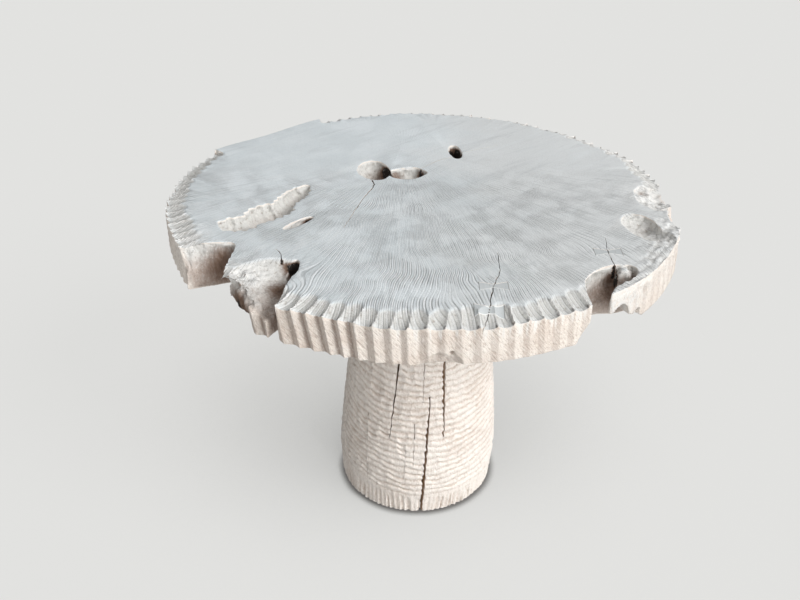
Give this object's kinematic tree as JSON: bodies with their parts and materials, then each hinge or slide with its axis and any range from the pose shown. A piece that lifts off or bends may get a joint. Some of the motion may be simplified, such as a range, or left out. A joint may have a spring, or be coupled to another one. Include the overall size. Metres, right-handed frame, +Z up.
{
  "type": "entry table",
  "caption": "Round pedestal entry table: a thick live-edge wood slab with a gouge-fluted rim and butterfly keys, dowelled on a carved tapering trunk.",
  "frame": {"origin": "on the floor, close under the middle of the trunk's foot", "axes": "+Z is up, -Y is the front that the picture shows, +X is to the right seen from the front"},
  "size_m": [1.094, 1.1027, 0.76],
  "materials": {
    "slab_wood": "bleached, white-washed, matte",
    "trunk_wood": "bleached, white-washed, chisel-cut, matte",
    "key_wood": "bleached, sanded flush, matte",
    "dowel_wood": "plain turned hardwood"
  },
  "bodies": {
    "root": {"tabletop_slab": "slab_wood", "trunk_pedestal": "trunk_wood", "key_inner": "key_wood", "key_rim": "key_wood", "key_right": "key_wood", "dowel_back": "dowel_wood", "dowel_left": "dowel_wood", "dowel_front": "dowel_wood"}
  },
  "joints": []
}
